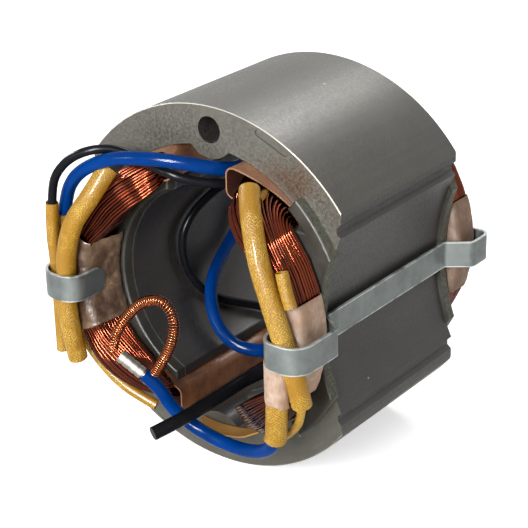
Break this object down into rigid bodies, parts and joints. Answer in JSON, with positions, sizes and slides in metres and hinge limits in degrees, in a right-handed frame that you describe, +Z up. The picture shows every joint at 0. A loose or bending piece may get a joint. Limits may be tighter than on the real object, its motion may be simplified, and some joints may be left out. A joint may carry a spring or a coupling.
{
  "type": "wound stator",
  "caption": "Field stator of a small universal motor: laminated two-pole core, strapped copper coils, woven sleeves and insulated leads.",
  "frame": {"origin": "centre of the line between the two screw holes, on the core's front (lead-end) face, which is also on the axis of the bore", "axes": "+Y along the motor's axis from the front face towards the rear; +Z up through the two screw holes; the poles face each other along X"},
  "size_m": [0.0695, 0.0774, 0.08],
  "materials": {
    "core_steel": "satin clear coat over bonded steel laminations",
    "insulator": "dark moulded or powder-coated insulation",
    "slot_paper": "brown varnished slot paper",
    "copper_wire": "enamelled copper wire, varnished",
    "wrap_paper": "pinkish insulating paper",
    "wrap_film": "wrinkled translucent film over the coil",
    "strap_metal": "zinc-plated strip",
    "sleeve_weave": "yellow varnished woven sleeving",
    "lead_blue": "smooth blue insulation",
    "lead_black": "smooth black insulation",
    "tinned_metal": "tinned copper",
    "spring_wire": "bare copper-coloured spring wire"
  },
  "bodies": {
    "root": {"stator_core": "core_steel", "end_insulator_front_left": "insulator", "end_insulator_front_right": "insulator", "end_insulator_rear_left": "insulator", "end_insulator_rear_right": "insulator", "slot_liner_upper_left": "slot_paper", "slot_liner_upper_right": "slot_paper", "slot_liner_lower_left": "slot_paper", "slot_liner_lower_right": "slot_paper", "coil_left": "copper_wire", "coil_right": "copper_wire", "coil_wrap_front_left": "wrap_film", "coil_wrap_front_right": "wrap_paper", "coil_wrap_rear_left": "wrap_paper", "coil_wrap_rear_right": "wrap_paper", "strap_left": "strap_metal", "strap_right": "strap_metal", "sleeve_main_right": "sleeve_weave", "sleeve_brush_lead": "sleeve_weave", "sleeve_tail_right": "sleeve_weave", "sleeve_short_right": "sleeve_weave", "sleeve_inner_right": "sleeve_weave", "sleeve_main_left": "sleeve_weave", "sleeve_black_lead": "sleeve_weave", "sleeve_blue_lead": "sleeve_weave", "sleeve_return_left": "sleeve_weave", "lead_blue_long": "lead_blue", "lead_blue_tip": "tinned_metal", "lead_black_long": "lead_black", "black_end_tube": "lead_black", "lead_blue_brush": "lead_blue", "crimp_ferrule": "tinned_metal", "brush_lead_strands": "tinned_metal", "contact_spring": "spring_wire", "splice_blue_brush": "tinned_metal", "splice_blue_long": "tinned_metal", "splice_black_long": "tinned_metal"}
  },
  "joints": []
}
